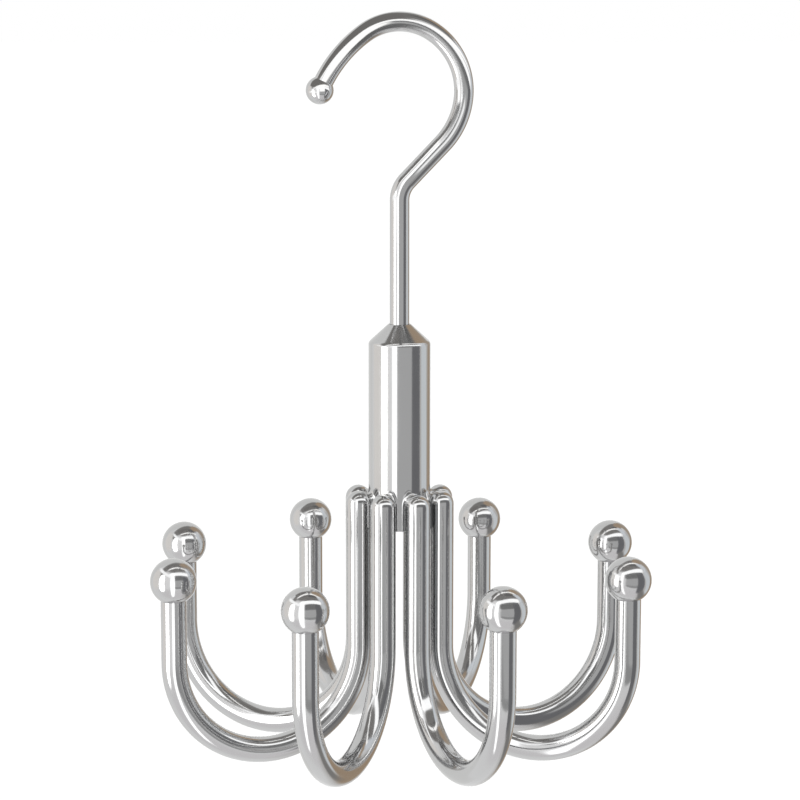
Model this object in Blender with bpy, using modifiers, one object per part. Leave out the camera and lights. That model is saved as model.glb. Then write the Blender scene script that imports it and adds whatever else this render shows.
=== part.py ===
"""Rotating multi-hook hanger: a bent wire top hook, and a barrel with eight J hooks that turns on its stem.

Metres, +Z up. The origin is the point inside the top hook's crown that rests on a rod, over the stem's axis.
The top hook lies in the XZ plane with its tip towards -X.
"""

import math

import bmesh
import bpy
from mathutils import Vector

COLLECTION_NAME = "rotating_multi_hook_hanger"

# Clearances between pieces
SEAT_GAP = 0.0003
RUNNING_GAP = 0.00015
WELD_GAP = 0.0003
FLANGE_CLEARANCE = 0.0009

# Top hook: a straight stem, a neck bend to the right, a slanting run, and a crook that turns left to the tip
STEM_RADIUS = 0.0030
NECK_BEND_RADIUS = 0.0086
NECK_BEND_ANGLE = math.radians(43.5)
CROOK_LOWER_RADIUS = 0.0235
CROOK_LOWER_SWEEP = math.radians(37.0)
CROOK_SIDE_RADIUS = 0.0213
CROOK_SIDE_SWEEP = math.radians(63.2)
CROOK_CROWN_RADIUS = 0.0178
CROOK_CROWN_SWEEP = math.radians(69.5)
CROOK_TIP_RADIUS = 0.0413
CROOK_TIP_SWEEP = math.radians(30.7)
STEM_EXPOSED = 0.0378
TIP_BALL_RADIUS = 0.00425
TIP_WIRE_SHORTFALL = 0.0008

# Threaded lower end of the stem, with its washer and lock nut
THREAD_RADIUS = 0.0025
THREAD_PAST_NUT = 0.0020
THREAD_CHAMFER = 0.0005
SHOULDER_CHAMFER = 0.0002
WASHER_RADIUS = 0.0065
WASHER_THICKNESS = 0.0012
NUT_ACROSS_FLATS = 0.0080
NUT_THICKNESS = 0.0040

# Barrel: a turned tube with a conical top
BARREL_RADIUS = 0.0095
BARREL_LENGTH = 0.05745
BARREL_WALL = 0.0016
BARREL_FOOT_CHAMFER = 0.0004
CONE_HEIGHT = 0.00545
CONE_TOP_RADIUS = 0.0035
CONE_RIM_ROUND = 0.0018
BEARING_DEPTH = 0.0090
BEARING_ROOF = 0.0050
PLUG_THICKNESS = 0.0030
PLUG_CHAMFER = 0.0004

# Flanged bush and thrust washer that the carousel turns on
BUSH_WALL = 0.0015
BUSH_FLANGE_THICKNESS = 0.0015
THRUST_THICKNESS = 0.0010

# J-shaped hooks
ARM_COUNT = 8
FIRST_ARM_AZIMUTH = math.radians(22.5)
ARM_RADIUS = 0.0039
ARM_TIP_CIRCLE_RADIUS = 0.0737
ARM_OVERLAP = 0.0082
ARM_DROP = 0.0359
ARM_BALL_RISE = 0.0249
ARM_BALL_RADIUS = 0.0070
ARM_WIRE_SHORTFALL = 0.0010

# Fillet weld in the grooves between the barrel and each shank
WELD_FILLET_RADIUS = 0.0012
WELD_CLEARANCE = 0.6 * WELD_GAP

# Fineness of the round shapes
BEND_STEP = math.radians(7.5)
DOME_STEPS = 5
DOME_REACH = math.radians(80)
RIM_STEPS = 4
WELD_STEPS = 10
FILLET_STEPS = 3
BALL_STEPS = 10
BALL_SIDES = 18
BARREL_SIDES = 40
RING_SIDES = 24
STEM_BEVEL = 6
ARM_BEVEL = 4
WELD_DISTANCE = 1e-6
SHARP_ANGLE = math.radians(32)

# Headings in the plane of a bent wire, measured from its horizontal axis
UPWARD = math.pi / 2
LEFTWARD = math.pi
DOWNWARD = -math.pi / 2

ORIGIN = (0.0, 0.0, 0.0)
UNTURNED = (0.0, 0.0, 0.0)


def clear_scene():
    for obj in list(bpy.data.objects):
        bpy.data.objects.remove(obj, do_unlink=True)


def make_material(name, colour, roughness, metallic):
    material = bpy.data.materials.new(name)
    material.use_nodes = True
    shader = material.node_tree.nodes["Principled BSDF"]
    shader.inputs["Base Color"].default_value = (*colour, 1.0)
    shader.inputs["Roughness"].default_value = roughness
    shader.inputs["Metallic"].default_value = metallic
    material.diffuse_color = (*colour, 1.0)
    return material


def along_arc(heading, radius, sweep):
    """Displacement along an arc from a heading. A right turn has a negative radius and a negative sweep."""
    end = heading + sweep
    return radius * Vector((math.sin(end) - math.sin(heading), math.cos(heading) - math.cos(end)))


def add_arc(points, heading, radius, sweep):
    """Lengthens a list of plane points by an arc, and returns the heading at its end."""
    start = points[-1]
    steps = max(1, math.ceil(abs(sweep) / BEND_STEP))
    for i in range(1, steps + 1):
        points.append(start + along_arc(heading, radius, sweep * i / steps))
    return heading + sweep


def crook_bends():
    return (
        (CROOK_LOWER_RADIUS, CROOK_LOWER_SWEEP),
        (CROOK_SIDE_RADIUS, CROOK_SIDE_SWEEP),
        (CROOK_CROWN_RADIUS, CROOK_CROWN_SWEEP),
        (CROOK_TIP_RADIUS, CROOK_TIP_SWEEP),
    )


def neck_layout():
    """(length of the slanting run, height of the neck's start) that put the crown over the stem's axis."""
    slant = UPWARD - NECK_BEND_ANGLE
    offset = along_arc(UPWARD, -NECK_BEND_RADIUS, -NECK_BEND_ANGLE)
    heading = slant
    for radius, sweep in crook_bends():
        sweep_to_crown = min(sweep, LEFTWARD - heading)
        offset += along_arc(heading, radius, sweep_to_crown)
        heading += sweep_to_crown
    run = -offset.x / math.cos(slant)
    return run, STEM_RADIUS - offset.y - run * math.sin(slant)


SLANT_RUN, NECK_Z = neck_layout()

# Heights that follow from the stack, from the cone's top down to the lowest hook
CONE_TOP_Z = NECK_Z - STEM_EXPOSED
RIM_Z = CONE_TOP_Z - CONE_HEIGHT
BARREL_FOOT_Z = RIM_Z - BARREL_LENGTH
BEARING_TOP_Z = RIM_Z + CONE_HEIGHT - BEARING_ROOF
BEARING_FOOT_Z = RIM_Z - BEARING_DEPTH
FLANGE_TOP_Z = BEARING_FOOT_Z - SEAT_GAP
THRUST_TOP_Z = FLANGE_TOP_Z - BUSH_FLANGE_THICKNESS - SEAT_GAP
SHOULDER_Z = THRUST_TOP_Z - THRUST_THICKNESS
WASHER_TOP_Z = SHOULDER_Z - SEAT_GAP
NUT_TOP_Z = WASHER_TOP_Z - WASHER_THICKNESS - SEAT_GAP
STEM_END_Z = NUT_TOP_Z - NUT_THICKNESS - THREAD_PAST_NUT
SHANK_DOME_Z = BARREL_FOOT_Z + ARM_OVERLAP
ARM_BEND_Z = BARREL_FOOT_Z - ARM_DROP
ARM_BALL_Z = ARM_BEND_Z + ARM_BALL_RISE

# Radii that follow from what fits round what
STEM_BORE_RADIUS = STEM_RADIUS + RUNNING_GAP
BUSH_RADIUS = STEM_BORE_RADIUS + BUSH_WALL
BEARING_RADIUS = BUSH_RADIUS + SEAT_GAP
THREAD_HOLE_RADIUS = THREAD_RADIUS + SEAT_GAP
CHAMBER_RADIUS = BARREL_RADIUS - BARREL_WALL
FLANGE_RADIUS = CHAMBER_RADIUS - FLANGE_CLEARANCE
SHANK_CIRCLE_RADIUS = BARREL_RADIUS + WELD_GAP + ARM_RADIUS
ARM_BEND_RADIUS = (ARM_TIP_CIRCLE_RADIUS - SHANK_CIRCLE_RADIUS) / 2
WELD_FOOT_Z = BARREL_FOOT_Z + BARREL_FOOT_CHAMFER


def finish_mesh(mesh):
    """Welds what a curve or a turned profile leaves loose, and shades the round faces smooth."""
    work = bmesh.new()
    work.from_mesh(mesh)
    bmesh.ops.remove_doubles(work, verts=work.verts, dist=WELD_DISTANCE)
    work.to_mesh(mesh)
    work.free()
    mesh.shade_smooth()
    mesh.set_sharp_from_angle(angle=SHARP_ANGLE)


def solid_mesh(source):
    """The closed mesh of a curve or of a profile with modifiers. The source object is removed."""
    bpy.context.scene.collection.objects.link(source)
    graph = bpy.context.evaluated_depsgraph_get()
    mesh = bpy.data.meshes.new_from_object(source.evaluated_get(graph))
    mesh.name = source.name
    bpy.data.objects.remove(source, do_unlink=True)
    finish_mesh(mesh)
    return mesh


def turned_mesh(name, profile, sides, closed):
    """A profile of (radius, height) points turned about Z, down its outer side and back up the inner one."""
    last = len(profile) - 1
    edges = [(i, i + 1) for i in range(last)]
    if closed:
        edges.append((last, 0))
    outline = bpy.data.meshes.new(name)
    outline.from_pydata([(radius, 0.0, height) for radius, height in profile], edges, [])
    source = bpy.data.objects.new(name, outline)
    screw = source.modifiers.new("turn", "SCREW")
    screw.axis = "Z"
    screw.angle = 2 * math.pi
    screw.steps = sides
    screw.render_steps = sides
    screw.use_merge_vertices = True
    screw.merge_threshold = WELD_DISTANCE
    return solid_mesh(source)


def ring_profile(outer, inner, top, thickness):
    return [(outer, top), (outer, top - thickness), (inner, top - thickness), (inner, top)]


def wire_mesh(name, points, radius, thinning, bevel_resolution):
    """A round wire along points of the XZ plane. Thinning maps a point's index to its share of the radius."""
    curve = bpy.data.curves.new(name, "CURVE")
    curve.dimensions = "3D"
    curve.bevel_depth = radius
    curve.bevel_resolution = bevel_resolution
    curve.use_fill_caps = True
    spline = curve.splines.new("POLY")
    spline.points.add(len(points) - 1)
    for i, (along, height) in enumerate(points):
        spline.points[i].co = (along, 0.0, height, 1.0)
        spline.points[i].radius = thinning.get(i, 1.0)
    return solid_mesh(bpy.data.objects.new(name, curve))


def ball_mesh(name, radius, wire_radius, wire_shortfall):
    """A ball with a blind hole from below for a wire that ends a little short of its centre."""
    hole = wire_radius + SEAT_GAP
    mouth = math.acos(hole / radius)
    roof = SEAT_GAP - wire_shortfall
    profile = []
    for i in range(BALL_STEPS + 1):
        angle = math.pi / 2 - (math.pi / 2 + mouth) * i / BALL_STEPS
        profile.append((radius * math.cos(angle), radius * math.sin(angle)))
    profile[0] = (0.0, radius)
    profile += [(hole, roof), (0.0, roof)]
    return turned_mesh(name, profile, BALL_SIDES, closed=False)


def place(collection, name, mesh, material, parent=None, location=ORIGIN, rotation=UNTURNED):
    obj = bpy.data.objects.new(name, mesh)
    if not mesh.materials:
        mesh.materials.append(material)
    obj.location = location
    obj.rotation_euler = rotation
    obj.parent = parent
    collection.objects.link(obj)
    return obj


def make_top_hook(collection, chrome):
    """The stem's threaded end, stem, neck and crook as one bent wire, and the ball on its tip."""
    points = [Vector((0.0, height)) for height in (
        STEM_END_Z,
        STEM_END_Z + THREAD_CHAMFER,
        SHOULDER_Z,
        SHOULDER_Z + SHOULDER_CHAMFER,
        NECK_Z,
    )]
    thread_share = THREAD_RADIUS / STEM_RADIUS
    thinning = {0: (THREAD_RADIUS - THREAD_CHAMFER) / STEM_RADIUS, 1: thread_share, 2: thread_share}
    heading = add_arc(points, UPWARD, -NECK_BEND_RADIUS, -NECK_BEND_ANGLE)
    points.append(points[-1] + SLANT_RUN * Vector((math.cos(heading), math.sin(heading))))
    *bends, (tip_radius, tip_sweep) = crook_bends()
    for radius, sweep in bends:
        heading = add_arc(points, heading, radius, sweep)
    ball_centre = points[-1] + along_arc(heading, tip_radius, tip_sweep)
    heading = add_arc(points, heading, tip_radius, tip_sweep - TIP_WIRE_SHORTFALL / tip_radius)
    wire = wire_mesh("top_hook", points, STEM_RADIUS, thinning, STEM_BEVEL)
    place(collection, "top_hook", wire, chrome)
    ball = ball_mesh("hook_tip_ball", TIP_BALL_RADIUS, STEM_RADIUS, TIP_WIRE_SHORTFALL)
    tilt = (0.0, UPWARD - heading, 0.0)
    place(collection, "hook_tip_ball", ball, chrome, None, (ball_centre.x, 0.0, ball_centre.y), tilt)


def make_stem_fixings(collection, steel):
    """The washer and the lock nut on the stem's thread, which carry the carousel."""
    profile = ring_profile(WASHER_RADIUS, THREAD_HOLE_RADIUS, WASHER_TOP_Z, WASHER_THICKNESS)
    washer = turned_mesh("stem_washer", profile, RING_SIDES, closed=True)
    place(collection, "stem_washer", washer, steel)
    outline = bpy.data.curves.new("stem_lock_nut", "CURVE")
    outline.dimensions = "2D"
    outline.fill_mode = "BOTH"
    outline.extrude = NUT_THICKNESS / 2
    corner = NUT_ACROSS_FLATS / math.sqrt(3)
    for radius, sides in ((corner, 6), (THREAD_HOLE_RADIUS, RING_SIDES)):
        spline = outline.splines.new("POLY")
        spline.points.add(sides - 1)
        spline.use_cyclic_u = True
        for i in range(sides):
            angle = 2 * math.pi * i / sides
            spline.points[i].co = (radius * math.cos(angle), radius * math.sin(angle), 0.0, 1.0)
    nut = solid_mesh(bpy.data.objects.new("stem_lock_nut", outline))
    place(collection, "stem_lock_nut", nut, steel, None, (0.0, 0.0, NUT_TOP_Z - NUT_THICKNESS / 2))


def rim_points():
    """The rounded edge between the cone and the barrel's side, from the cone down."""
    slope = math.atan2(CONE_HEIGHT, BARREL_RADIUS - CONE_TOP_RADIUS)
    turn = math.pi / 2 - slope
    setback = CONE_RIM_ROUND * math.tan(turn / 2)
    centre_z = RIM_Z - setback
    centre_r = BARREL_RADIUS - CONE_RIM_ROUND
    points = []
    for i in range(RIM_STEPS + 1):
        angle = turn * (1 - i / RIM_STEPS)
        radius = centre_r + CONE_RIM_ROUND * math.cos(angle)
        points.append((radius, centre_z + CONE_RIM_ROUND * math.sin(angle)))
    return points


def make_barrel(collection, chrome, pivot):
    """The turned barrel: cone, rounded rim and side outside, and bearing, chamber and plug seat inside."""
    profile = [
        (CONE_TOP_RADIUS, CONE_TOP_Z),
        *rim_points(),
        (BARREL_RADIUS, BARREL_FOOT_Z + BARREL_FOOT_CHAMFER),
        (BARREL_RADIUS - BARREL_FOOT_CHAMFER, BARREL_FOOT_Z),
        (CHAMBER_RADIUS, BARREL_FOOT_Z),
        (CHAMBER_RADIUS, BEARING_FOOT_Z),
        (BEARING_RADIUS, BEARING_FOOT_Z),
        (BEARING_RADIUS, BEARING_TOP_Z),
        (STEM_BORE_RADIUS, BEARING_TOP_Z),
        (STEM_BORE_RADIUS, CONE_TOP_Z),
    ]
    barrel = turned_mesh("hub_barrel", profile, BARREL_SIDES, closed=True)
    place(collection, "hub_barrel", barrel, chrome, pivot)


def make_barrel_plug(collection, chrome, pivot):
    """The disc that closes the barrel's foot."""
    radius = CHAMBER_RADIUS - SEAT_GAP
    profile = [
        (0.0, BARREL_FOOT_Z + PLUG_THICKNESS),
        (radius - PLUG_CHAMFER, BARREL_FOOT_Z + PLUG_THICKNESS),
        (radius, BARREL_FOOT_Z + PLUG_THICKNESS - PLUG_CHAMFER),
        (radius, BARREL_FOOT_Z),
        (0.0, BARREL_FOOT_Z),
    ]
    plug = turned_mesh("hub_plug", profile, BARREL_SIDES, closed=False)
    place(collection, "hub_plug", plug, chrome, pivot)


def make_bearing(collection, nylon, pivot):
    """The flanged bush in the cone's bore, and the thrust washer under it."""
    sleeve_top = BEARING_TOP_Z - SEAT_GAP
    flange_foot = FLANGE_TOP_Z - BUSH_FLANGE_THICKNESS
    profile = [
        (BUSH_RADIUS, sleeve_top),
        (BUSH_RADIUS, FLANGE_TOP_Z),
        (FLANGE_RADIUS, FLANGE_TOP_Z),
        (FLANGE_RADIUS, flange_foot),
        (STEM_BORE_RADIUS, flange_foot),
        (STEM_BORE_RADIUS, sleeve_top),
    ]
    bush = turned_mesh("stem_bush", profile, RING_SIDES, closed=True)
    place(collection, "stem_bush", bush, nylon, pivot)
    thrust = ring_profile(FLANGE_RADIUS, STEM_BORE_RADIUS, THRUST_TOP_Z, THRUST_THICKNESS)
    washer = turned_mesh("thrust_washer", thrust, RING_SIDES, closed=True)
    place(collection, "thrust_washer", washer, nylon, pivot)


def arm_mesh():
    """One J hook in the XZ plane: a domed shank beside the barrel, a half-round bend and an upright tip."""
    points = []
    thinning = {}
    for i in range(DOME_STEPS):
        angle = DOME_REACH * (1 - i / DOME_STEPS)
        thinning[i] = math.cos(angle)
        points.append(Vector((SHANK_CIRCLE_RADIUS, SHANK_DOME_Z + ARM_RADIUS * math.sin(angle))))
    points.append(Vector((SHANK_CIRCLE_RADIUS, SHANK_DOME_Z)))
    points.append(Vector((SHANK_CIRCLE_RADIUS, ARM_BEND_Z)))
    add_arc(points, DOWNWARD, ARM_BEND_RADIUS, math.pi)
    points.append(Vector((ARM_TIP_CIRCLE_RADIUS, ARM_BALL_Z - ARM_WIRE_SHORTFALL)))
    return wire_mesh("hook_arm", points, ARM_RADIUS, thinning, ARM_BEVEL)


def equidistant(clearance, turn):
    """A point at one clearance from both barrel and shank. Turn goes from 0 to pi, over the shank's dome."""
    barrel = BARREL_RADIUS + clearance
    shank = ARM_RADIUS + clearance
    spacing = SHANK_CIRCLE_RADIUS
    limit = math.acos((barrel**2 + spacing**2 - shank**2) / (2 * barrel * spacing))
    azimuth = limit * math.cos(turn)
    level_squared = barrel**2 + spacing**2 - 2 * barrel * spacing * math.cos(azimuth)
    rise = math.sqrt(max(0.0, shank**2 - level_squared))
    return Vector((barrel * math.cos(azimuth), barrel * math.sin(azimuth), SHANK_DOME_Z + rise))


def clear_of_barrel(point):
    level = Vector((point.x, point.y)).normalized() * (BARREL_RADIUS + WELD_CLEARANCE)
    return Vector((level.x, level.y, point.z))


def shank_centre(point):
    return Vector((SHANK_CIRCLE_RADIUS, 0.0, min(point.z, SHANK_DOME_Z)))


def clear_of_shank(point):
    centre = shank_centre(point)
    return centre + (point - centre).normalized() * (ARM_RADIUS + WELD_CLEARANCE)


def weld_section(turn, drop):
    """One section of the weld: a hollow fillet outside, and the barrel's and the shank's curve inside."""
    ball = equidistant(WELD_FILLET_RADIUS, turn) - Vector((0.0, 0.0, drop))
    root = equidistant(WELD_CLEARANCE, turn) - Vector((0.0, 0.0, drop))
    to_barrel = Vector((-ball.x, -ball.y, 0.0)).normalized()
    to_shank = (shank_centre(ball) - ball).normalized()
    opening = to_barrel.angle(to_shank)
    trim = math.acos(1 - WELD_CLEARANCE / WELD_FILLET_RADIUS)
    section = []
    for i in range(FILLET_STEPS + 1):
        angle = trim + (opening - 2 * trim) * i / FILLET_STEPS
        direction = to_barrel * math.sin(opening - angle) + to_shank * math.sin(angle)
        section.append(ball + direction.normalized() * WELD_FILLET_RADIUS)
    shank_side = clear_of_shank((section[-1] + root) / 2)
    barrel_side = clear_of_barrel((section[0] + root) / 2)
    return [*section, shank_side, root, barrel_side]


def weld_mesh():
    """The fillet weld of one J hook, up one groove beside its shank, over the dome and down the other groove."""
    run = SHANK_DOME_Z - WELD_FOOT_Z
    sections = [weld_section(0.0, run)]
    sections += [weld_section(math.pi * i / WELD_STEPS, 0.0) for i in range(WELD_STEPS + 1)]
    sections.append(weld_section(math.pi, run))
    sides = len(sections[0])
    points = [point for section in sections for point in section]
    faces = [list(range(sides))[::-1], [len(points) - sides + j for j in range(sides)]]
    for i in range(len(sections) - 1):
        for j in range(sides):
            near = i * sides
            far = near + sides
            after = (j + 1) % sides
            faces.append([near + j, near + after, far + after, far + j])
    mesh = bpy.data.meshes.new("arm_weld")
    mesh.from_pydata(points, [], faces)
    work = bmesh.new()
    work.from_mesh(mesh)
    bmesh.ops.recalc_face_normals(work, faces=work.faces)
    work.to_mesh(mesh)
    work.free()
    mesh.shade_smooth()
    mesh.set_sharp_from_angle(angle=SHARP_ANGLE)
    return mesh


def make_arms(collection, wire_chrome, ball_chrome, pivot):
    """The J hooks with their balls and welds, spaced evenly round the barrel from the front, which is -Y."""
    arm = arm_mesh()
    weld = weld_mesh()
    ball = ball_mesh("arm_ball", ARM_BALL_RADIUS, ARM_RADIUS, ARM_WIRE_SHORTFALL)
    for i in range(ARM_COUNT):
        azimuth = FIRST_ARM_AZIMUTH + 2 * math.pi * i / ARM_COUNT - math.pi / 2
        spin = (0.0, 0.0, azimuth)
        place(collection, f"hook_arm_{i + 1}", arm, wire_chrome, pivot, rotation=spin)
        place(collection, f"arm_weld_{i + 1}", weld, wire_chrome, pivot, rotation=spin)
        reach = ARM_TIP_CIRCLE_RADIUS
        centre = (reach * math.cos(azimuth), reach * math.sin(azimuth), ARM_BALL_Z)
        place(collection, f"arm_ball_{i + 1}", ball, ball_chrome, pivot, centre, spin)


def main():
    clear_scene()
    collection = bpy.data.collections.new(COLLECTION_NAME)
    bpy.context.scene.collection.children.link(collection)
    wire_chrome = make_material("wire_chrome", (0.80, 0.80, 0.80), 0.07, 1.0)
    ball_chrome = make_material("ball_chrome", (0.82, 0.82, 0.82), 0.05, 1.0)
    barrel_chrome = make_material("barrel_chrome", (0.79, 0.79, 0.79), 0.08, 1.0)
    zinc_steel = make_material("zinc_steel", (0.60, 0.60, 0.58), 0.35, 1.0)
    nylon = make_material("nylon", (0.86, 0.85, 0.80), 0.55, 0.0)
    pivot = bpy.data.objects.new("swivel_axis", None)
    collection.objects.link(pivot)
    make_top_hook(collection, wire_chrome)
    make_stem_fixings(collection, zinc_steel)
    make_barrel(collection, barrel_chrome, pivot)
    make_barrel_plug(collection, barrel_chrome, pivot)
    make_bearing(collection, nylon, pivot)
    make_arms(collection, wire_chrome, ball_chrome, pivot)


main()
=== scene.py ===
import math

import bmesh
import bpy
from mathutils import Matrix, Vector


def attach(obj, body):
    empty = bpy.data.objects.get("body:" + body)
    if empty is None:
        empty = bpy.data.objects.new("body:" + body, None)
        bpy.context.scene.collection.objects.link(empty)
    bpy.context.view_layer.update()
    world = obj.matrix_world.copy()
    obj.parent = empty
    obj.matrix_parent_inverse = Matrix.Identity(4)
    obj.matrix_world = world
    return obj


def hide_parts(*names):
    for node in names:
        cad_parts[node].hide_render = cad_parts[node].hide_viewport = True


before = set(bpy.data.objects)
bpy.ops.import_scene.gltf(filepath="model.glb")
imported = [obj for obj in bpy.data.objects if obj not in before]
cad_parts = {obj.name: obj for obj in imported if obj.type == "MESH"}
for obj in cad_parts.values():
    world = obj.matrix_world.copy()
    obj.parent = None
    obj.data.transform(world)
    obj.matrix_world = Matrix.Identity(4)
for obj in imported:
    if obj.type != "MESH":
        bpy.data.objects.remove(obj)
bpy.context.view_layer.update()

MM = 0.001

# Gaps and clearances, in metres, as in the CAD source
SEAT_GAP = 0.3 * MM
RUNNING_GAP = 0.15 * MM
WELD_GAP = 0.3 * MM
FLANGE_CLEARANCE = 0.9 * MM

# Top hook, as in the CAD source
STEM_RADIUS = 3.0 * MM
NECK_BEND_RADIUS = 8.6 * MM
NECK_BEND_ANGLE = math.radians(43.5)
CROOK_BENDS = (
    (23.5 * MM, math.radians(37.0)),
    (21.3 * MM, math.radians(63.2)),
    (17.8 * MM, math.radians(69.5)),
    (41.3 * MM, math.radians(30.7)),
)
STEM_EXPOSED = 37.8 * MM
TIP_BALL_RADIUS = 4.25 * MM
TIP_WIRE_SHORTFALL = 0.8 * MM

# Fixings on the stem's thread, as in the CAD source
THREAD_RADIUS = 2.5 * MM
THREAD_PAST_NUT = 2.0 * MM
THREAD_CHAMFER = 0.5 * MM
SHOULDER_CHAMFER = 0.2 * MM
WASHER_RADIUS = 6.5 * MM
WASHER_THICKNESS = 1.2 * MM
NUT_ACROSS_FLATS = 8.0 * MM
NUT_THICKNESS = 4.0 * MM

# Barrel and what it holds, as in the CAD source
BARREL_RADIUS = 9.5 * MM
BARREL_LENGTH = 57.45 * MM
BARREL_WALL = 1.6 * MM
BARREL_FOOT_CHAMFER = 0.4 * MM
CONE_HEIGHT = 5.45 * MM
CONE_TOP_RADIUS = 3.5 * MM
CONE_RIM_ROUND = 1.8 * MM
BEARING_DEPTH = 9.0 * MM
BEARING_ROOF = 5.0 * MM
PLUG_THICKNESS = 3.0 * MM
PLUG_CHAMFER = 0.4 * MM
BUSH_WALL = 1.5 * MM
BUSH_FLANGE_THICKNESS = 1.5 * MM
THRUST_THICKNESS = 1.0 * MM

# J hooks, as in the CAD source
ARM_COUNT = 8
FIRST_ARM_AZIMUTH = math.radians(22.5)
ARM_RADIUS = 3.9 * MM
ARM_TIP_CIRCLE_RADIUS = 73.7 * MM
ARM_OVERLAP = 8.2 * MM
ARM_DROP = 35.9 * MM
ARM_BALL_RISE = 24.9 * MM
ARM_BALL_RADIUS = 7.0 * MM
ARM_WIRE_SHORTFALL = 1.0 * MM
WELD_FILLET_RADIUS = 1.2 * MM

# Detail that only the visual model has. The shares are of the thread's pitch and of a profile's side.
THREAD_PITCH = 0.8 * MM
THREAD_DEPTH = 0.4 * MM
GROOVE_HALF_SHARE = 0.42
NUT_FACE_INSET = 0.1 * MM
NUT_BORE_CHAMFER = 0.2 * MM
NUT_CONE_SLOPE = math.radians(30)
WASHER_ROUND = 0.15 * MM
BUSH_ROUND = 0.2 * MM
ROUND_SIDE_SHARE = 0.45
PLUG_CLEARANCE = 0.02 * MM
PLUG_FOOT_ROUND = 0.15 * MM
BALL_HOLE_CLEARANCE = 0.01 * MM
WELD_ROOT_CLEARANCE = 0.2 * MM
WELD_LAP = 0.006 * MM

# Fineness
BEND_STEP = math.radians(2.0)
STRAIGHT_STEP = 3.0 * MM
SUPPORT = 0.15 * MM
LONG_FACE = 6 * SUPPORT
WIRE_SIDES = 48
THREAD_STEPS_PER_PITCH = 10
TURNED_SIDES = 96
NUT_SIDES = 72
RIM_STEPS = 10
FOOT_STEPS = 4
ROUND_STEPS = 3
BALL_SIDES = 64
BALL_STEPS = 40
DOME_STEPS = 14
WELD_FACE_STEPS = 8
WELD_SIDE_STEPS = 6
WELD_DOME_STEPS = 48
SHARP_ANGLE = math.radians(28)
ON_AXIS = 1e-9

UPWARD = math.pi / 2
LEFTWARD = math.pi
DOWNWARD = -math.pi / 2


# Paths of bent wire, as (along, height, heading, radius) in the wire's own plane

def along_arc(heading, radius, sweep):
    """The way from an arc's start to its end. Radius and sweep are both negative where it turns right."""
    end = heading + sweep
    return Vector((
        radius * (math.sin(end) - math.sin(heading)),
        radius * (math.cos(heading) - math.cos(end)),
    ))


def neck_layout():
    """(length of the slanting run, height of the neck bend's start) with the crown over the stem's axis."""
    slant = UPWARD - NECK_BEND_ANGLE
    offset = along_arc(UPWARD, -NECK_BEND_RADIUS, -NECK_BEND_ANGLE)
    heading = slant
    for radius, sweep in CROOK_BENDS:
        part = min(sweep, LEFTWARD - heading)
        offset += along_arc(heading, radius, part)
        heading += part
    run = -offset.x / math.cos(slant)
    return run, STEM_RADIUS - offset.y - run * math.sin(slant)


def straight(path, heading, length, radius):
    """Lengthens a path by a straight run, with rings close to both ends so that its shading stays true."""
    x, z = path[-1][0], path[-1][1]
    stops = [SUPPORT]
    while stops[-1] + 2 * STRAIGHT_STEP < length:
        stops.append(stops[-1] + STRAIGHT_STEP)
    stops += [length - SUPPORT, length]
    for stop in stops:
        path.append((x + stop * math.cos(heading), z + stop * math.sin(heading), heading, radius))


def bend(path, heading, bend_radius, sweep, radius):
    """Lengthens a path by an arc and gives the heading at its end."""
    x, z = path[-1][0], path[-1][1]
    steps = max(2, math.ceil(abs(sweep) / BEND_STEP))
    for i in range(1, steps + 1):
        step = along_arc(heading, bend_radius, sweep * i / steps)
        path.append((x + step.x, z + step.y, heading + sweep * i / steps, radius))
    return heading + sweep


# Heights and radii that follow from the sizes above

SLANT_RUN, NECK_Z = neck_layout()
CONE_TOP_Z = NECK_Z - STEM_EXPOSED
RIM_Z = CONE_TOP_Z - CONE_HEIGHT
BARREL_FOOT_Z = RIM_Z - BARREL_LENGTH
BEARING_TOP_Z = RIM_Z + CONE_HEIGHT - BEARING_ROOF
BEARING_FOOT_Z = RIM_Z - BEARING_DEPTH
FLANGE_TOP_Z = BEARING_FOOT_Z - SEAT_GAP
THRUST_TOP_Z = FLANGE_TOP_Z - BUSH_FLANGE_THICKNESS - SEAT_GAP
SHOULDER_Z = THRUST_TOP_Z - THRUST_THICKNESS
WASHER_TOP_Z = SHOULDER_Z - SEAT_GAP
NUT_TOP_Z = WASHER_TOP_Z - WASHER_THICKNESS - SEAT_GAP
STEM_END_Z = NUT_TOP_Z - NUT_THICKNESS - THREAD_PAST_NUT
SHANK_DOME_Z = BARREL_FOOT_Z + ARM_OVERLAP
ARM_BEND_Z = BARREL_FOOT_Z - ARM_DROP
ARM_BALL_Z = ARM_BEND_Z + ARM_BALL_RISE
STEM_BORE_RADIUS = STEM_RADIUS + RUNNING_GAP
BUSH_RADIUS = STEM_BORE_RADIUS + BUSH_WALL
BEARING_RADIUS = BUSH_RADIUS + SEAT_GAP
THREAD_HOLE_RADIUS = THREAD_RADIUS + SEAT_GAP
CHAMBER_RADIUS = BARREL_RADIUS - BARREL_WALL
FLANGE_RADIUS = CHAMBER_RADIUS - FLANGE_CLEARANCE
PLUG_RADIUS = CHAMBER_RADIUS - PLUG_CLEARANCE
SHANK_CIRCLE_RADIUS = BARREL_RADIUS + WELD_GAP + ARM_RADIUS
ARM_BEND_RADIUS = (ARM_TIP_CIRCLE_RADIUS - SHANK_CIRCLE_RADIUS) / 2


# Meshes

def turns(sides):
    """The angles of one full turn in equal steps."""
    return [2 * math.pi * j / sides for j in range(sides)]


def circle(radius, z, sides):
    """A level ring round Z, or the pole where the radius is zero."""
    if radius < ON_AXIS:
        return [Vector((0.0, 0.0, z))]
    return [Vector((radius * math.cos(a), radius * math.sin(a), z)) for a in turns(sides)]


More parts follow.
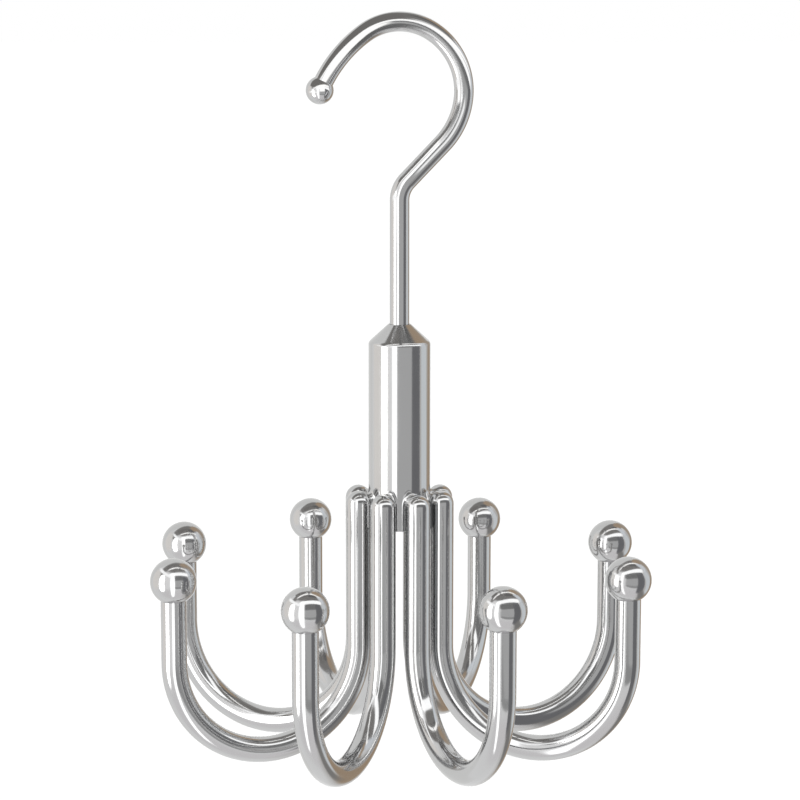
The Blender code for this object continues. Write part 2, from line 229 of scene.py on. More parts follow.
def wire_rings(path):
    """A ring square to the path at each of its points, or a pole where the wire's radius is zero."""
    across = Vector((0.0, 1.0, 0.0))
    rings = []
    for x, z, heading, radius in path:
        centre = Vector((x, 0.0, z))
        if radius == 0.0:
            rings.append([centre])
            continue
        outward = Vector((-math.sin(heading), 0.0, math.cos(heading)))
        rings.append([
            centre + radius * (math.cos(a) * outward + math.sin(a) * across) for a in turns(WIRE_SIDES)
        ])
    return rings


def skin(name, rings, capped=False, looped=False):
    """A closed mesh over rings of equal count, where a ring of one point is a pole.

    A capped skin has a face over each end, and in a looped one the last ring joins the first.
    """
    points = []
    starts = []
    for ring in rings:
        starts.append(len(points))
        points.extend(ring)
    faces = []
    for i in range(len(rings) if looped else len(rings) - 1):
        follower = (i + 1) % len(rings)
        near, far = starts[i], starts[follower]
        near_count, far_count = len(rings[i]), len(rings[follower])
        count = max(near_count, far_count)
        for j in range(count):
            after = (j + 1) % count
            if near_count == 1:
                faces.append((near, far + after, far + j))
            elif far_count == 1:
                faces.append((near + j, near + after, far))
            else:
                faces.append((near + j, near + after, far + after, far + j))
    if capped:
        faces.append(tuple(range(len(rings[0])))[::-1])
        faces.append(tuple(starts[-1] + j for j in range(len(rings[-1]))))
    mesh = bpy.data.meshes.new(name)
    mesh.from_pydata(points, [], faces)
    work = bmesh.new()
    work.from_mesh(mesh)
    bmesh.ops.recalc_face_normals(work, faces=work.faces)
    work.to_mesh(mesh)
    work.free()
    mesh.shade_smooth()
    mesh.set_sharp_from_angle(angle=SHARP_ANGLE)
    return mesh


def turned(name, profile, sides=TURNED_SIDES, looped=True):
    """A profile of (radius, height) turned about Z, with rings close to both ends of each long face.

    A looped profile closes on itself, and the ends of any other lie on the axis.
    """
    rings = []
    count = len(profile)
    for i in range(count if looped else count - 1):
        radius, z = profile[i]
        next_radius, next_z = profile[(i + 1) % count]
        out, up = next_radius - radius, next_z - z
        rings.append(circle(radius, z, sides))
        length = math.hypot(out, up)
        if length > LONG_FACE:
            for share in (SUPPORT / length, 1 - SUPPORT / length):
                rings.append(circle(radius + out * share, z + up * share, sides))
    if not looped:
        rings.append(circle(*profile[-1], sides))
    return skin(name, rings, looped=looped)


def rounded(corners, radius):
    """A closed profile with each of its corners rounded, as far as its shorter side allows."""
    out = []
    for i, corner in enumerate(corners):
        here = Vector(corner)
        before = Vector(corners[i - 1]) - here
        after = Vector(corners[(i + 1) % len(corners)]) - here
        half = before.angle(after) / 2
        limit = min(ROUND_SIDE_SHARE * before.length, ROUND_SIDE_SHARE * after.length)
        setback = min(radius / math.tan(half), limit)
        before.normalize()
        after.normalize()
        ease = setback * math.tan(half)
        centre = here + (before + after).normalized() * (ease / math.sin(half))
        start = (here + before * setback - centre).normalized()
        end = (here + after * setback - centre).normalized()
        for k in range(ROUND_STEPS + 1):
            out.append(tuple(centre + ease * start.slerp(end, k / ROUND_STEPS)))
    return out


def washer_mesh(name, radius, hole_radius, top, thickness):
    """A flat ring with rounded edges."""
    foot = top - thickness
    corners = [(radius, top), (radius, foot), (hole_radius, foot), (hole_radius, top)]
    return turned(name, rounded(corners, WASHER_ROUND))


def ball_mesh(name, radius, wire_radius, shortfall):
    """A ball round the origin with a blind hole from below, whose roof is just above the wire's end."""
    hole = wire_radius + BALL_HOLE_CLEARANCE
    mouth = math.acos(hole / radius)
    profile = [(0.0, radius)]
    sweep = math.pi / 2 + mouth
    for i in range(1, BALL_STEPS + 1):
        angle = math.pi / 2 - sweep * i / BALL_STEPS
        profile.append((radius * math.cos(angle), radius * math.sin(angle)))
    roof = SEAT_GAP - shortfall
    profile += [(hole, roof), (0.0, roof)]
    return turned(name, profile, BALL_SIDES, looped=False)


def add_object(name, data):
    obj = bpy.data.objects.new(name, data)
    bpy.context.scene.collection.objects.link(obj)
    return obj


def place(name, mesh, material, body, nodes, matrix=None):
    """Adds a piece that rides on a body and stands for CAD nodes."""
    if matrix is not None:
        mesh.transform(matrix)
    mesh.materials.append(material)
    obj = add_object(name, mesh)
    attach(obj, body)
    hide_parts(*nodes)


# Shader nodes

NOISE_LOW = 0.3
NOISE_HIGH = 0.7


def add_node(tree, kind, inputs=None, **settings):
    """A node with its settings by name, and the values of its inputs by name or number."""
    node = tree.nodes.new(kind)
    for key, value in settings.items():
        setattr(node, key, value)
    for key, value in (inputs or {}).items():
        node.inputs[key].default_value = value
    return node


def link(tree, *pairs):
    """Links made of (output, input)."""
    for source, target in pairs:
        tree.links.new(source, target)


def empty_tree(owner):
    """The node tree of a material or a world, without its first nodes."""
    owner.use_nodes = True
    owner.node_tree.nodes.clear()
    return owner.node_tree


def grey(tone):
    return (tone, tone, tone, 1.0)


def noise(tree, scale, detail, roughness, stretch=(1.0, 1.0, 1.0)):
    """Noise over the object's own coordinates, drawn out along an axis by a low number in stretch."""
    where = add_node(tree, "ShaderNodeTexCoord")
    mapping = add_node(tree, "ShaderNodeMapping", {"Scale": stretch})
    texture = add_node(tree, "ShaderNodeTexNoise", {
        "Scale": scale,
        "Detail": detail,
        "Roughness": roughness,
    })
    link(
        tree,
        (where.outputs["Object"], mapping.inputs["Vector"]),
        (mapping.outputs["Vector"], texture.inputs["Vector"]),
    )
    return texture.outputs[0]


def spread(tree, pattern, low, high):
    """The usual range of a noise, spread from low to high."""
    node = add_node(tree, "ShaderNodeMapRange", {
        "From Min": NOISE_LOW,
        "From Max": NOISE_HIGH,
        "To Min": low,
        "To Max": high,
    })
    link(tree, (pattern, node.inputs["Value"]))
    return node.outputs["Result"]


def bump(tree, pattern, height, under=None):
    """A pattern's relief, height in metres, on top of the relief under it where there is one."""
    node = add_node(tree, "ShaderNodeBump", {"Strength": 1.0, "Distance": height})
    link(tree, (pattern, node.inputs["Height"]))
    if under is not None:
        link(tree, (under, node.inputs["Normal"]))
    return node.outputs["Normal"]


# Materials of the pieces

CHROME = (0.553, 0.555, 0.557)

# What smudges make of the plating's roughness and colour, at the noise's low and high end
SMUDGE_ROUGHNESS = (0.75, 1.35)
SMUDGE_COLOUR = (0.975, 1.02)


def new_material(name, colour, metallic, roughness):
    material = bpy.data.materials.new(name)
    material.use_nodes = True
    shader = material.node_tree.nodes["Principled BSDF"]
    shader.inputs["Base Color"].default_value = (*colour, 1.0)
    shader.inputs["Metallic"].default_value = metallic
    shader.inputs["Roughness"].default_value = roughness
    return material, material.node_tree, shader


def chrome(name, roughness, peel, lines=0.0):
    """Polished plating with smudges and a faint orange peel, and turning lines round Z where asked."""
    material, tree, shader = new_material(name, CHROME, 1.0, roughness)
    smudges = noise(tree, scale=70.0, detail=3.0, roughness=0.55)
    gloss = spread(tree, smudges, *[roughness * factor for factor in SMUDGE_ROUGHNESS])
    low, high = [(*[part * factor for part in CHROME], 1.0) for factor in SMUDGE_COLOUR]
    tone = add_node(tree, "ShaderNodeMix", {"A": low, "B": high}, data_type="RGBA")
    surface = bump(tree, noise(tree, scale=850.0, detail=2.0, roughness=0.5), peel)
    if lines:
        rings = noise(tree, scale=6500.0, detail=2.0, roughness=0.6, stretch=(0.03, 0.03, 1.0))
        surface = bump(tree, rings, lines, surface)
    link(
        tree,
        (gloss, shader.inputs["Roughness"]),
        (smudges, tone.inputs["Factor"]),
        (tone.outputs["Result"], shader.inputs["Base Color"]),
        (surface, shader.inputs["Normal"]),
    )
    return material


def grained(name, colour, metallic, roughness, grain, gloss, height):
    """A plain material with one fine grain in its gloss and its surface."""
    material, tree, shader = new_material(name, colour, metallic, roughness)
    pattern = noise(tree, **grain)
    link(
        tree,
        (spread(tree, pattern, *gloss), shader.inputs["Roughness"]),
        (bump(tree, pattern, height), shader.inputs["Normal"]),
    )
    return material


wire_chrome = chrome("wire_chrome_plate", roughness=0.11, peel=0.8e-6)
ball_chrome = chrome("ball_chrome_plate", roughness=0.11, peel=0.6e-6)
barrel_chrome = chrome("barrel_chrome_plate", roughness=0.12, peel=0.6e-6, lines=0.12e-6)
weld_chrome = chrome("weld_chrome_plate", roughness=0.14, peel=1.5e-6)
zinc = grained(
    "zinc_plated_steel",
    colour=(0.62, 0.62, 0.60),
    metallic=1.0,
    roughness=0.35,
    grain={"scale": 500.0, "detail": 4.0, "roughness": 0.6},
    gloss=(0.26, 0.46),
    height=6e-6,
)
nylon = grained(
    "moulded_nylon",
    colour=(0.80, 0.79, 0.74),
    metallic=0.0,
    roughness=0.5,
    grain={"scale": 1500.0, "detail": 3.0, "roughness": 0.5},
    gloss=(0.42, 0.6),
    height=8e-6,
)


# Top hook and the fixings on its stem

def thread_rings():
    """The stem's threaded end as rings that carry one helical groove."""
    rings = []
    length = SHOULDER_Z - STEM_END_Z
    count = math.ceil(length / THREAD_PITCH * THREAD_STEPS_PER_PITCH)
    for i in range(count + 1):
        z = STEM_END_Z + length * i / count
        fade = min(1.0, (z - STEM_END_Z) / THREAD_PITCH, (SHOULDER_Z - z) / THREAD_PITCH)
        limit = THREAD_RADIUS - max(0.0, THREAD_CHAMFER - (z - STEM_END_Z))
        ring = []
        for j, angle in enumerate(turns(WIRE_SIDES)):
            phase = (z / THREAD_PITCH - j / WIRE_SIDES) % 1.0
            groove = THREAD_DEPTH * fade * max(0.0, 1 - abs(phase - 0.5) / GROOVE_HALF_SHARE)
            radius = min(THREAD_RADIUS - groove, limit)
            ring.append(Vector((-radius * math.cos(angle), radius * math.sin(angle), z)))
        rings.append(ring)
    return rings


def top_hook():
    """One bent wire from its threaded end to the ball on its tip."""
    path = [
        (0.0, SHOULDER_Z, UPWARD, STEM_RADIUS - SHOULDER_CHAMFER),
        (0.0, SHOULDER_Z + SHOULDER_CHAMFER, UPWARD, STEM_RADIUS),
    ]
    straight(path, UPWARD, NECK_Z - path[-1][1], STEM_RADIUS)
    heading = bend(path, UPWARD, -NECK_BEND_RADIUS, -NECK_BEND_ANGLE, STEM_RADIUS)
    straight(path, heading, SLANT_RUN, STEM_RADIUS)
    for bend_radius, sweep in CROOK_BENDS[:-1]:
        heading = bend(path, heading, bend_radius, sweep, STEM_RADIUS)
    tip_radius, tip_sweep = CROOK_BENDS[-1]
    to_ball = along_arc(heading, tip_radius, tip_sweep)
    ball_centre = Vector((path[-1][0] + to_ball.x, 0.0, path[-1][1] + to_ball.y))
    heading = bend(path, heading, tip_radius, tip_sweep - TIP_WIRE_SHORTFALL / tip_radius, STEM_RADIUS)
    wire = skin("top_hook_wire", thread_rings() + wire_rings(path), capped=True)
    place("top_hook_wire", wire, wire_chrome, "hook", ["top_hook"])
    ball = ball_mesh("tip_ball", TIP_BALL_RADIUS, STEM_RADIUS, TIP_WIRE_SHORTFALL)
    tilt = Matrix.Translation(ball_centre) @ Matrix.Rotation(UPWARD - heading, 4, "Y")
    place("tip_ball", ball, ball_chrome, "hook", ["hook_tip_ball"], tilt)


def nut_mesh(name):
    """A hexagon nut whose corners are turned off to a cone above and below."""
    flat = NUT_ACROSS_FLATS / 2
    face = flat - NUT_FACE_INSET
    foot, top = NUT_TOP_Z - NUT_THICKNESS, NUT_TOP_Z
    lower, upper = [], []
    for angle in turns(NUT_SIDES):
        side = flat / math.cos(angle % (math.pi / 3) - math.pi / 6)
        drop = (side - face) * math.tan(NUT_CONE_SLOPE)
        lower.append(Vector((side * math.cos(angle), side * math.sin(angle), foot + drop)))
        upper.append(Vector((side * math.cos(angle), side * math.sin(angle), top - drop)))
    return skin(name, [
        circle(THREAD_HOLE_RADIUS, foot + NUT_BORE_CHAMFER, NUT_SIDES),
        circle(THREAD_HOLE_RADIUS + NUT_BORE_CHAMFER, foot, NUT_SIDES),
        circle(face, foot, NUT_SIDES),
        lower,
        upper,
        circle(face, top, NUT_SIDES),
        circle(THREAD_HOLE_RADIUS + NUT_BORE_CHAMFER, top, NUT_SIDES),
        circle(THREAD_HOLE_RADIUS, top - NUT_BORE_CHAMFER, NUT_SIDES),
    ], looped=True)


def stem_fixings():
    washer = washer_mesh("seat_washer", WASHER_RADIUS, THREAD_HOLE_RADIUS, WASHER_TOP_Z, WASHER_THICKNESS)
    place("seat_washer", washer, zinc, "hook", ["stem_washer"])
    place("lock_nut", nut_mesh("lock_nut"), zinc, "hook", ["stem_lock_nut"])


# Barrel and what it holds

def rim_arc():
    """The round between the cone and the barrel's side, from the top down."""
    slope = math.atan2(CONE_HEIGHT, BARREL_RADIUS - CONE_TOP_RADIUS)
    turn = math.pi / 2 - slope
    centre_z = RIM_Z - CONE_RIM_ROUND * math.tan(turn / 2)
    centre_radius = BARREL_RADIUS - CONE_RIM_ROUND
    arc = []
    for i in range(RIM_STEPS + 1):
        angle = turn * (1 - i / RIM_STEPS)
        out, up = CONE_RIM_ROUND * math.cos(angle), CONE_RIM_ROUND * math.sin(angle)
        arc.append((centre_radius + out, centre_z + up))
    return arc


def foot_arc(radius, z, ease):
    """The round between a turned side and its foot, from the top down."""
    arc = []
    for i in range(FOOT_STEPS + 1):
        angle = math.pi / 2 * i / FOOT_STEPS
        arc.append((radius - ease + ease * math.cos(angle), z + ease - ease * math.sin(angle)))
    return arc


def barrel():
    """A tube with a conical top, bored for the stem and the bearing."""
    profile = [
        (CONE_TOP_RADIUS, CONE_TOP_Z),
        *rim_arc(),
        *foot_arc(BARREL_RADIUS, BARREL_FOOT_Z, BARREL_FOOT_CHAMFER),
        (CHAMBER_RADIUS, BARREL_FOOT_Z),
        (CHAMBER_RADIUS, BEARING_FOOT_Z),
        (BEARING_RADIUS, BEARING_FOOT_Z),
        (BEARING_RADIUS, BEARING_TOP_Z),
        (STEM_BORE_RADIUS, BEARING_TOP_Z),
        (STEM_BORE_RADIUS, CONE_TOP_Z),
    ]
    body = turned("barrel_body", profile)
    place("barrel_body", body, barrel_chrome, "carousel", ["hub_barrel"])


def foot_plug():
    """A disc that closes the barrel's foot, chamfered above and rounded below."""
    top = BARREL_FOOT_Z + PLUG_THICKNESS
    profile = [
        (0.0, top),
        (PLUG_RADIUS - PLUG_CHAMFER, top),
        (PLUG_RADIUS, top - PLUG_CHAMFER),
        *foot_arc(PLUG_RADIUS, BARREL_FOOT_Z, PLUG_FOOT_ROUND),
        (0.0, BARREL_FOOT_Z),
    ]
    disc = turned("foot_plug", profile, looped=False)
    place("foot_plug", disc, barrel_chrome, "carousel", ["hub_plug"])


def bearing():
    """The flanged bush that the stem turns in, and the thrust washer below it."""
    sleeve_top = BEARING_TOP_Z - SEAT_GAP
    flange_foot = FLANGE_TOP_Z - BUSH_FLANGE_THICKNESS
    bush_corners = [
        (BUSH_RADIUS, sleeve_top),
        (BUSH_RADIUS, FLANGE_TOP_Z),
        (FLANGE_RADIUS, FLANGE_TOP_Z),
        (FLANGE_RADIUS, flange_foot),
        (STEM_BORE_RADIUS, flange_foot),
        (STEM_BORE_RADIUS, sleeve_top),
    ]
    bush = turned("nylon_bush", rounded(bush_corners, BUSH_ROUND))
    place("nylon_bush", bush, nylon, "carousel", ["stem_bush"])
    thrust = washer_mesh(
        "nylon_thrust_washer", FLANGE_RADIUS, STEM_BORE_RADIUS, THRUST_TOP_Z, THRUST_THICKNESS
    )
    place("nylon_thrust_washer", thrust, nylon, "carousel", ["thrust_washer"])


# J hooks, in the XZ plane before each is turned to its place

def arm_mesh(name):
    """A J of round bar from its dome, down the shank and round the bend to its flat end in the ball."""
    path = [(SHANK_CIRCLE_RADIUS, SHANK_DOME_Z + ARM_RADIUS, DOWNWARD, 0.0)]
    for i in range(1, DOME_STEPS):
        angle = math.pi / 2 * (1 - i / DOME_STEPS)
        rise, radius = ARM_RADIUS * math.sin(angle), ARM_RADIUS * math.cos(angle)
        path.append((SHANK_CIRCLE_RADIUS, SHANK_DOME_Z + rise, DOWNWARD, radius))
    path.append((SHANK_CIRCLE_RADIUS, SHANK_DOME_Z, DOWNWARD, ARM_RADIUS))
    straight(path, DOWNWARD, SHANK_DOME_Z - ARM_BEND_Z, ARM_RADIUS)
    bend(path, DOWNWARD, ARM_BEND_RADIUS, math.pi, ARM_RADIUS)
    straight(path, UPWARD, ARM_BALL_Z - ARM_WIRE_SHORTFALL - ARM_BEND_Z, ARM_RADIUS)
    rings = wire_rings(path)
    middle = sum(rings[-1], Vector()) / WIRE_SIDES
    return skin(name, rings + [[middle]])


def equidistant(clearance, turn):
    """The point this far off barrel and shank. Half a turn takes it over the dome to the other side."""
    barrel_reach = BARREL_RADIUS + clearance
    shank_reach = ARM_RADIUS + clearance
    spacing = SHANK_CIRCLE_RADIUS
    limit = math.acos((barrel_reach**2 + spacing**2 - shank_reach**2) / (2 * barrel_reach * spacing))
    azimuth = limit * math.cos(turn)
    level_squared = barrel_reach**2 + spacing**2 - 2 * barrel_reach * spacing * math.cos(azimuth)
    rise = math.sqrt(max(0.0, shank_reach**2 - level_squared))
    return Vector((barrel_reach * math.cos(azimuth), barrel_reach * math.sin(azimuth), SHANK_DOME_Z + rise))


def weld_section(turn, drop):
    """The fillet's hollow face from the barrel to the shank, and its root between them."""
    ball = equidistant(WELD_FILLET_RADIUS, turn) - Vector((0.0, 0.0, drop))
    root = equidistant(WELD_ROOT_CLEARANCE, turn) - Vector((0.0, 0.0, drop))
    shank_centre = Vector((SHANK_CIRCLE_RADIUS, 0.0, min(ball.z, SHANK_DOME_Z)))
    to_barrel = Vector((-ball.x, -ball.y, 0.0)).normalized()
    to_shank = (shank_centre - ball).normalized()
    opening = to_barrel.angle(to_shank)
    trim = math.acos(1 - WELD_LAP / WELD_FILLET_RADIUS)
    section = []
    for i in range(WELD_FACE_STEPS + 1):
        angle = trim + (opening - 2 * trim) * i / WELD_FACE_STEPS
        direction = to_barrel * math.sin(opening - angle) + to_shank * math.sin(angle)
        section.append(ball + direction.normalized() * WELD_FILLET_RADIUS)
    return [*section, root]


def weld_mesh(name):
    """A fillet up one side of the shank, round its dome and down the other side."""
    run = SHANK_DOME_Z - BARREL_FOOT_Z - BARREL_FOOT_CHAMFER
    sections = [weld_section(0.0, run * (1 - i / WELD_SIDE_STEPS)) for i in range(WELD_SIDE_STEPS)]
    sections += [weld_section(math.pi * i / WELD_DOME_STEPS, 0.0) for i in range(WELD_DOME_STEPS + 1)]
    sections += [weld_section(math.pi, run * (i + 1) / WELD_SIDE_STEPS) for i in range(WELD_SIDE_STEPS)]
    return skin(name, sections, capped=True)


def j_hook(number):
    """One hook with its weld and its ball, at its place round the barrel."""
    azimuth = FIRST_ARM_AZIMUTH + 2 * math.pi * (number - 1) / ARM_COUNT - math.pi / 2
    spin = Matrix.Rotation(azimuth, 4, "Z")
    seat = spin @ Matrix.Translation((ARM_TIP_CIRCLE_RADIUS, 0.0, ARM_BALL_Z))
    hook, weld, ball = f"j_hook_{number}", f"fillet_weld_{number}", f"j_hook_ball_{number}"
    sphere = ball_mesh(ball, ARM_BALL_RADIUS, ARM_RADIUS, ARM_WIRE_SHORTFALL)
    place(hook, arm_mesh(hook), wire_chrome, "carousel", [f"hook_arm_{number}"], spin)
    place(weld, weld_mesh(weld), weld_chrome, "carousel", [f"arm_weld_{number}"], spin)
    place(ball, sphere, ball_chrome, "carousel", [f"arm_ball_{number}"], seat)


top_hook()
stem_fixings()
barrel()
foot_plug()
bearing()
for number in range(1, ARM_COUNT + 1):
    j_hook(number)


# Camera, at the photograph's angle

CAMERA_TARGET = Vector((0.163, 0.0, -112.0)) * MM
CAMERA_DISTANCE = 831.0 * MM
CAMERA_PITCH = math.radians(8.596)
CAMERA_TURN = math.radians(1.223)
CAMERA_ROLL = math.radians(0.047)
LENS_MM = 121.917
SENSOR_MM = 36.0
CLIP_START = 0.02
CLIP_END = 50.0


def photo_camera():
    data = bpy.data.cameras.new("camera")
    data.lens = LENS_MM
    data.sensor_width = SENSOR_MM
    data.clip_start = CLIP_START
    data.clip_end = CLIP_END
    back = Vector((
        -math.cos(CAMERA_PITCH) * math.sin(CAMERA_TURN),
        -math.cos(CAMERA_PITCH) * math.cos(CAMERA_TURN),
        math.sin(CAMERA_PITCH),
    ))
    stand = Matrix.Translation(CAMERA_TARGET + back * CAMERA_DISTANCE)
    aim = (-back).to_track_quat("-Z", "Y").to_matrix().to_4x4()
    camera = add_object("camera", data)
    camera.matrix_world = stand @ aim @ Matrix.Rotation(CAMERA_ROLL, 4, "Z")
    bpy.context.scene.camera = camera
    bpy.context.scene.view_settings.view_transform = "Standard"


photo_camera()


# Studio: soft cards that the plating reflects, white surroundings, one soft sun and a pale floor

# Directions as the camera sees them, and the middle of the object
ASIDE = Vector((math.cos(CAMERA_TURN), -math.sin(CAMERA_TURN), 0.0))
TOWARD = Vector((-math.sin(CAMERA_TURN), -math.cos(CAMERA_TURN), 0.0))
ABOVE = Vector((0.0, 0.0, 1.0))
CARD_CENTRE = Vector((0.0, 0.0, -0.112))

# Round cards: name; distance in metres; azimuth to the right of the camera, elevation, half width,
# half height and tilt in degrees as seen from the middle; softness of the edge; colour.
# A nearer card hides a farther one.
ROUND_CARDS = (
    ("below", 1.5, 15, -60, 55, 24, 0, 0.45, (0.92, 0.9, 0.91)),
    ("back_edge", 1.6, -159, 22, 36, 78, 14, 0.15, (0.91, 0.91, 0.9)),
    ("tan_low", 1.35, 120, -20, 42, 44, 8, 0.3, (0.7, 0.68, 0.66)),
    ("ceiling", 1.15, -26, 77, 60, 30, 58, 0.12, (0.3, 0.29, 0.28)),
    ("ceiling_core", 1.1, 100, 65, 17, 6, -74, 0.45, (0.17, 0.17, 0.17)),
    ("tan_wall", 1, 141, 14, 14, 36, 0, 0.15, (0.51, 0.43, 0.35)),
    ("brown_low", 0.98, 137, -30, 15, 22, 0, 0.35, (0.46, 0.35, 0.25)),
    ("ceiling_end", 0.95, 135, 47, 12, 16, 30, 0.35, (0.52, 0.4, 0.29)),
    ("beige", 0.85, -92, 4, 20, 30, 7, 0.3, (1.07, 1.03, 0.99)),
    ("cool_wall", 0.66, 104, -12, 14, 32, 18, 0.2, (0.88, 0.92, 0.95)),
    ("front_wall", 0.6, 26, -6, 36, 20, -2, 0.12, (0.61, 0.61, 0.61)),
    ("front_line", 0.58, 26, -26, 32, 4.5, -2, 0.2, (0.42, 0.42, 0.42)),
    ("dark_top", 0.56, 24, 28, 37, 17, -2, 0.12, (0.27, 0.27, 0.27)),
    ("dark_side", 0.54, 64, -8, 17, 42, 0, 0.12, (0.22, 0.22, 0.23)),
    ("dark_foot", 0.52, 98, -50, 22, 10, -14, 0.4, (0.31, 0.3, 0.29)),
    ("cool_light", 0.35, 102, 29, 9, 19, -4, 0.25, (0.92, 0.96, 1.01)),
    ("window_fill", 0.38, -38, 8, 23, 36, -4, 0.2, (1.12, 1.11, 1.11)),
    ("window", 0.345, -57.5, -7, 10.3, 27, 0, 0.12, (5, 4.95, 4.9)),
    ("lamp_band", 0.33, 30, 40, 53, 8.3, -6, 0.12, (1.8, 1.8, 1.8)),
    ("window_arm", 0.2, -56, 18, 34, 5, -7, 0.25, (1.65, 1.65, 1.65)),
)
ROUND_CARD_SQUARENESS = 4

# Flat cards: name; place to the right of the middle, toward the camera and above it, in metres;
# turn, lean and tilt in degrees; half width and half height in metres; softness of the edge; colour.
FLAT_CARDS = (
    ("slant_light", 0.0195, 0.025, 0.077, 0, 0, 51, 0.015, 0.005, 0.15, (1.55, 1.55, 1.55)),
    ("arch_dark", 0.0035, 0.035, 0.092, 0, 90, 0, 0.0045, 0.027, 0.2, (0.2, 0.2, 0.2)),
    ("arch_light", -0.013, 0.025, 0.1045, 0, 0, 0, 0.011, 0.013, 0.12, (1.85, 1.83, 1.8)),
    ("strip", -0.065, 0.2, -0.145, 0, 0, 0, 0.033, 0.31, 0.22, (2.2, 2.2, 2.2)),
    ("bar", 0.022, 0.027, 0.128, 23, 90, 0, 0.165, 0.01, 0.16, (1.85, 1.83, 1.8)),
    ("ceiling_near", -0.074, 0.035, 0.16, 12, 90, 0, 0.084, 0.062, 0.12, (0.26, 0.25, 0.24)),
)
FLAT_CARD_SQUARENESS = 12
CARD_STEPS = 24

# Surroundings, sun and floor, in metres
AMBIENT_STRENGTH = 0.4
SEEN_STRENGTH = 1.0
SUN_STRENGTH = 1.6
SUN_WIDTH = math.radians(24)
SUN_ROTATION = (math.radians(34), 0.0, math.radians(-40))
FLOOR_Z = -0.57
FLOOR_REACH = 30.0
FLOOR_TONE = 0.85
FLOOR_GLOW = 0.36


def tilted(right, above, tilt):
    """A card's two directions after its tilt in its own plane."""
    angle = math.radians(tilt)
    return (
        math.cos(angle) * right + math.sin(angle) * above,
        math.cos(angle) * above - math.sin(angle) * right,
    )


def round_card(distance, azimuth, elevation, half_width, half_height, tilt):
    """The surface of a card that is part of a sphere round the object."""
    turn, rise = math.radians(azimuth), math.radians(elevation)
    level = math.sin(turn) * ASIDE + math.cos(turn) * TOWARD
    centre = math.cos(rise) * level + math.sin(rise) * ABOVE
    right = math.cos(turn) * ASIDE - math.sin(turn) * TOWARD
    above = math.cos(rise) * ABOVE - math.sin(rise) * level
    right, above = tilted(right, above, tilt)

    def at(u, v):
        across, up = math.radians(u * half_width), math.radians(v * half_height)
        sideways = math.sin(across) * right + math.cos(across) * centre
        return CARD_CENTRE + distance * (math.cos(up) * sideways + math.sin(up) * above)

    return at


def flat_card(aside, toward, height, turn, lean, tilt, half_width, half_height):
    """The surface of a flat card, upright and square to the camera before its turn, lean and tilt."""
    turn, lean = math.radians(turn), math.radians(lean)
    middle = CARD_CENTRE + aside * ASIDE + toward * TOWARD + height * ABOVE
    right = math.cos(turn) * ASIDE - math.sin(turn) * TOWARD
    front = math.sin(turn) * ASIDE + math.cos(turn) * TOWARD
    above = math.cos(lean) * ABOVE + math.sin(lean) * front
    right, above = tilted(right, above, tilt)

    def at(u, v):
        return middle + u * half_width * right + v * half_height * above

    return at


def card_material(name, squareness, softness, colour):
    """Light that fades out towards the card's rounded edge."""
    material = bpy.data.materials.new(name)
    tree = empty_tree(material)
    where = add_node(tree, "ShaderNodeUVMap")
    axes = add_node(tree, "ShaderNodeSeparateXYZ")
    link(tree, (where.outputs["UV"], axes.inputs[0]))
    total = add_node(tree, "ShaderNodeMath", operation="ADD")
    for i, axis in enumerate("XY"):
        size = add_node(tree, "ShaderNodeMath", operation="ABSOLUTE")
        power = add_node(tree, "ShaderNodeMath", {1: squareness}, operation="POWER")
        link(
            tree,
            (axes.outputs[axis], size.inputs[0]),
            (size.outputs[0], power.inputs[0]),
            (power.outputs[0], total.inputs[i]),
        )
    reach = add_node(tree, "ShaderNodeMath", {1: 1 / squareness}, operation="POWER")
    fade = add_node(tree, "ShaderNodeMapRange", {
        "From Min": 1 - softness,
        "From Max": 1 + softness,
        "To Min": 1.0,
        "To Max": 0.0,
    }, interpolation_type="SMOOTHSTEP")
    clear = add_node(tree, "ShaderNodeBsdfTransparent")
    light = add_node(tree, "ShaderNodeEmission", {"Color": (*colour, 1.0)})
    mix = add_node(tree, "ShaderNodeMixShader")
    output = add_node(tree, "ShaderNodeOutputMaterial")
    link(
        tree,
        (total.outputs[0], reach.inputs[0]),
        (reach.outputs[0], fade.inputs["Value"]),
        (fade.outputs["Result"], mix.inputs["Fac"]),
        (clear.outputs[0], mix.inputs[1]),
        (light.outputs[0], mix.inputs[2]),
        (mix.outputs[0], output.inputs["Surface"]),
    )
    return material


def add_card(name, at, squareness, softness, colour):
    """A card that only reflections see. At gives its points for u and v, from -1 to 1 within the card."""
    shares = [(1 + softness) * (2 * i / CARD_STEPS - 1) for i in range(CARD_STEPS + 1)]
    places = [(u, v) for v in shares for u in shares]
    row = CARD_STEPS + 1
    faces = []
    for j in range(CARD_STEPS):
        for i in range(CARD_STEPS):
            near = j * row + i
            faces.append((near, near + 1, near + row + 1, near + row))
    mesh = bpy.data.meshes.new(f"card_{name}")
    mesh.from_pydata([at(u, v) for u, v in places], [], faces)
    layer = mesh.uv_layers.new(name="card")
    for corner in mesh.loops:
        layer.data[corner.index].uv = places[corner.vertex_index]
    mesh.materials.append(card_material(f"card_{name}", squareness, softness, colour))
    card = add_object(f"card_{name}", mesh)
    card.visible_camera = False
    card.visible_diffuse = False
    card.visible_shadow = False


def shown_rays(tree):
    """1 for the rays that see the surroundings: camera, glossy and transmission."""
    rays = add_node(tree, "ShaderNodeLightPath")
    first = add_node(tree, "ShaderNodeMath", operation="MAXIMUM")
    second = add_node(tree, "ShaderNodeMath", operation="MAXIMUM")
    link(
        tree,
        (rays.outputs["Is Camera Ray"], first.inputs[0]),
        (rays.outputs["Is Glossy Ray"], first.inputs[1]),
        (first.outputs[0], second.inputs[0]),
        (rays.outputs["Is Transmission Ray"], second.inputs[1]),
    )
    return second.outputs[0]


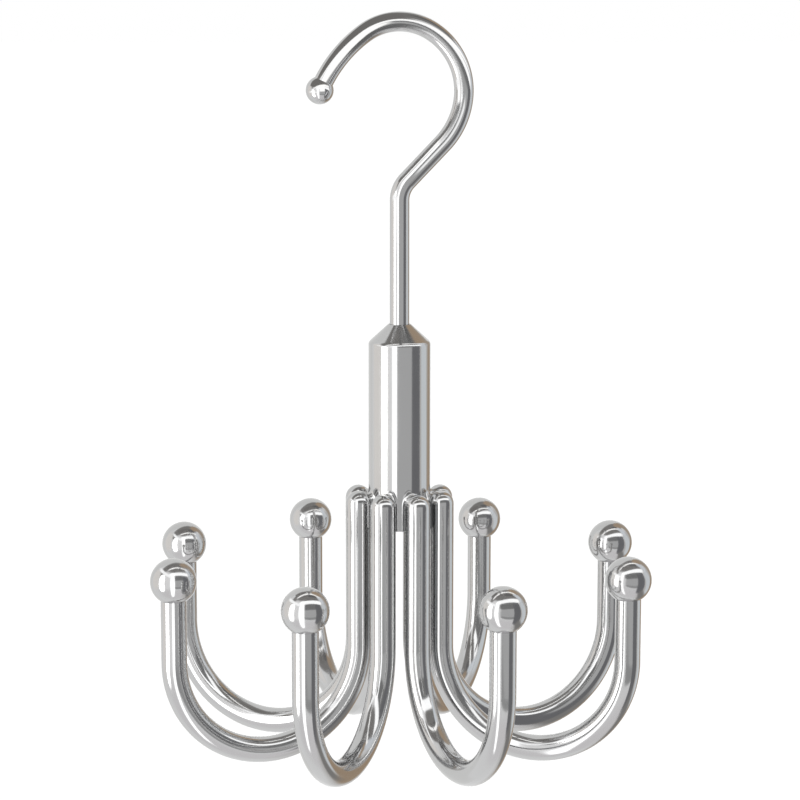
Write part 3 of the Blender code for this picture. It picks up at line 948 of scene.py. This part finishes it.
def white_surroundings():
    """A plain white where it is seen, and a dimmer one as the light that it gives."""
    world = bpy.data.worlds.new("studio")
    bpy.context.scene.world = world
    tree = empty_tree(world)
    dim = add_node(tree, "ShaderNodeBackground", {"Color": grey(1.0), "Strength": AMBIENT_STRENGTH})
    seen = add_node(tree, "ShaderNodeBackground", {"Color": grey(1.0), "Strength": SEEN_STRENGTH})
    mix = add_node(tree, "ShaderNodeMixShader")
    output = add_node(tree, "ShaderNodeOutputWorld")
    link(
        tree,
        (shown_rays(tree), mix.inputs["Fac"]),
        (dim.outputs[0], mix.inputs[1]),
        (seen.outputs[0], mix.inputs[2]),
        (mix.outputs[0], output.inputs["Surface"]),
    )


def soft_sun():
    data = bpy.data.lights.new("soft_sun", "SUN")
    data.energy = SUN_STRENGTH
    data.angle = SUN_WIDTH
    sun = add_object("soft_sun", data)
    sun.rotation_euler = SUN_ROTATION
    sun.visible_glossy = False


def pale_floor():
    """A matt floor that keeps the shadow, with a glow that makes it as pale as the surroundings."""
    material = bpy.data.materials.new("pale_floor")
    tree = empty_tree(material)
    matt = add_node(tree, "ShaderNodeBsdfDiffuse", {"Color": grey(FLOOR_TONE)})
    glow = add_node(tree, "ShaderNodeEmission", {"Color": grey(FLOOR_GLOW)})
    both = add_node(tree, "ShaderNodeAddShader")
    output = add_node(tree, "ShaderNodeOutputMaterial")
    link(
        tree,
        (shown_rays(tree), glow.inputs["Strength"]),
        (matt.outputs[0], both.inputs[0]),
        (glow.outputs[0], both.inputs[1]),
        (both.outputs[0], output.inputs["Surface"]),
    )
    mesh = bpy.data.meshes.new("floor")
    corners = [(x * FLOOR_REACH, y * FLOOR_REACH, 0.0) for x, y in ((-1, -1), (1, -1), (1, 1), (-1, 1))]
    mesh.from_pydata(corners, [], [(0, 1, 2, 3)])
    mesh.materials.append(material)
    floor = add_object("floor", mesh)
    floor.location = (0.0, 0.0, FLOOR_Z)
    floor.visible_glossy = False


for name, *measures, softness, colour in ROUND_CARDS:
    add_card(name, round_card(*measures), ROUND_CARD_SQUARENESS, softness, colour)
for name, *measures, softness, colour in FLAT_CARDS:
    add_card(name, flat_card(*measures), FLAT_CARD_SQUARENESS, softness, colour)
white_surroundings()
soft_sun()
pale_floor()
